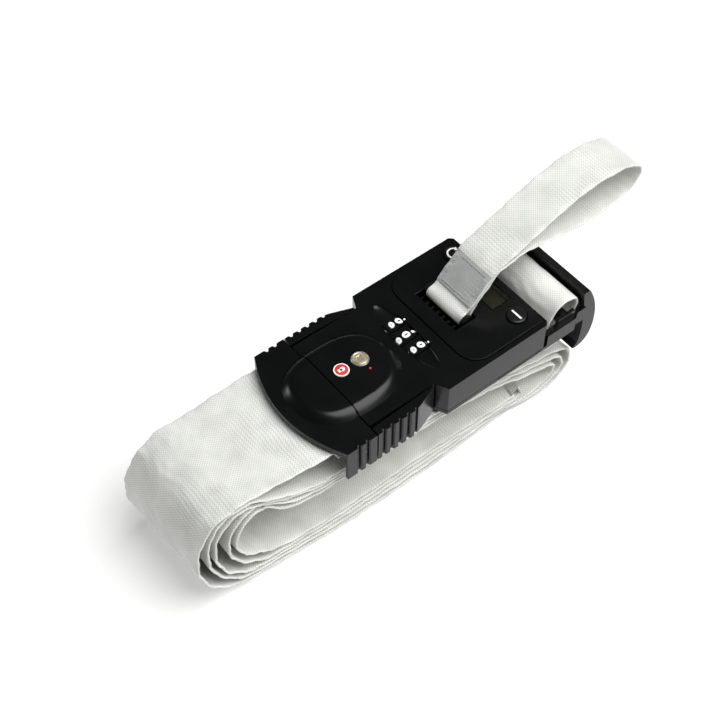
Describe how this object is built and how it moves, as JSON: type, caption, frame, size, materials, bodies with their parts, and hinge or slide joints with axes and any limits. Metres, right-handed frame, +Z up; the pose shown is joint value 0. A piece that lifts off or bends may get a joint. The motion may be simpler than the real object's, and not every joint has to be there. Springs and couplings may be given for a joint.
{
  "type": "luggage strap",
  "caption": "Wound luggage strap with a dial-and-key lock buckle, squeeze release, slide adjuster, built-in hand scale and lifting loop.",
  "frame": {"origin": "middle of the footprint, on the surface that the wound webbing lies on", "axes": "+X along the buckle from the plug to the curved end plate, +Y across it, +Z up out of the buckle's top face"},
  "size_m": [0.2312, 0.0586, 0.0917],
  "materials": {
    "black_abs": "satin moulded ABS",
    "black_nylon": "fine moulded nylon",
    "webbing": "plain-woven polyester webbing with a satin sheen",
    "steel": "bright nickel-plated steel",
    "zinc": "zinc-plated",
    "brass": "turned brass",
    "window_acrylic": "tinted acrylic",
    "display_glass": "unlit reflective display",
    "circuit_board": "solder mask",
    "badge_enamel": "red enamel"
  },
  "bodies": {
    "housing": {"housing_base": "black_abs", "housing_cover": "black_abs", "scale_panel": "black_abs", "display_window": "window_acrylic", "housing_screw_1": "zinc", "housing_screw_2": "zinc", "housing_screw_3": "zinc", "housing_screw_4": "zinc", "display_module": "display_glass", "circuit_board": "circuit_board", "power_switch": "steel", "unit_switch": "steel", "load_cell": "zinc", "link_hook": "steel", "coin_cell": "steel", "battery_contact": "steel", "adjuster_bar": "black_nylon", "dial_shaft": "steel", "detent_spring": "steel", "cylinder_collar": "steel", "lock_badge": "badge_enamel", "arm_pin_left": "steel", "arm_pin_right": "steel", "arm_spring_left": "steel", "arm_spring_right": "steel", "strap_wound": "webbing"},
    "plug": {"plug_cover": "black_abs", "plug_tongue": "black_nylon", "anchor_bar": "steel", "strap_lead": "webbing"},
    "arm_left": {"release_arm_left": "black_abs"},
    "arm_right": {"release_arm_right": "black_abs"},
    "dial_first": {"dial_1": "black_nylon", "dial_sleeve_1": "zinc"},
    "dial_middle": {"dial_2": "black_nylon", "dial_sleeve_2": "zinc"},
    "dial_last": {"dial_3": "black_nylon", "dial_sleeve_3": "zinc"},
    "key": {"key_cylinder": "brass", "key_cam": "zinc"},
    "locking_slide": {"locking_slide": "zinc"},
    "power_button": {"power_button": "black_nylon"},
    "unit_button": {"unit_button": "black_nylon"},
    "battery_door": {"battery_door": "black_nylon"},
    "loop": {"pull_link": "steel", "hand_loop": "webbing"}
  },
  "joints": [
    {"name": "plug_release", "type": "slide", "parent": "housing", "child": "plug", "axis": [-1, 0, 0], "range_m": [0, 0.026], "deforming": ["strap_lead"]},
    {"name": "arm_left_squeeze", "type": "hinge", "parent": "housing", "child": "arm_left", "pos_m": [-0.01036, 0.0206, 0.05], "axis": [0, 0, -1], "range_deg": [0, 1.6], "stiffness_Nm_per_rad": 0.4, "springref_deg": -0.57, "deforming": ["arm_spring_left"]},
    {"name": "arm_right_squeeze", "type": "hinge", "parent": "housing", "child": "arm_right", "pos_m": [-0.01036, -0.0206, 0.05], "axis": [0, 0, 1], "range_deg": [0, 1.6], "stiffness_Nm_per_rad": 0.4, "springref_deg": -0.57, "deforming": ["arm_spring_right"]},
    {"name": "dial_first_turn", "type": "hinge", "parent": "housing", "child": "dial_first", "pos_m": [0.00024, 0.0083, 0.0514], "axis": [0, 1, 0], "continuous": true},
    {"name": "dial_middle_turn", "type": "hinge", "parent": "housing", "child": "dial_middle", "pos_m": [0.00024, 0.001, 0.0514], "axis": [0, 1, 0], "continuous": true},
    {"name": "dial_last_turn", "type": "hinge", "parent": "housing", "child": "dial_last", "pos_m": [0.00024, -0.0063, 0.0514], "axis": [0, 1, 0], "continuous": true},
    {"name": "key_turn", "type": "hinge", "parent": "housing", "child": "key", "pos_m": [-0.02236, 0.0013, 0.054], "axis": [0, 0, 1], "range_deg": [0, 90]},
    {"name": "locking_slide_travel", "type": "slide", "parent": "housing", "child": "locking_slide", "axis": [1, 0, 0], "range_m": [0, 0.0012], "stiffness_N_per_m": 60, "springref_m": -0.0005},
    {"name": "power_press", "type": "slide", "parent": "housing", "child": "power_button", "axis": [0, 0, -1], "range_m": [0, 0.0008], "stiffness_N_per_m": 400},
    {"name": "unit_press", "type": "slide", "parent": "housing", "child": "unit_button", "axis": [0, 0, -1], "range_m": [0, 0.0008], "stiffness_N_per_m": 400},
    {"name": "battery_door_slide", "type": "slide", "parent": "housing", "child": "battery_door", "axis": [0, -1, 0], "range_m": [0, 0.012]},
    {"name": "loop_swing", "type": "hinge", "parent": "housing", "child": "loop", "pos_m": [0.02254, 0.0025, 0.058], "axis": [0, -1, 0], "range_deg": [-8, 110]}
  ]
}
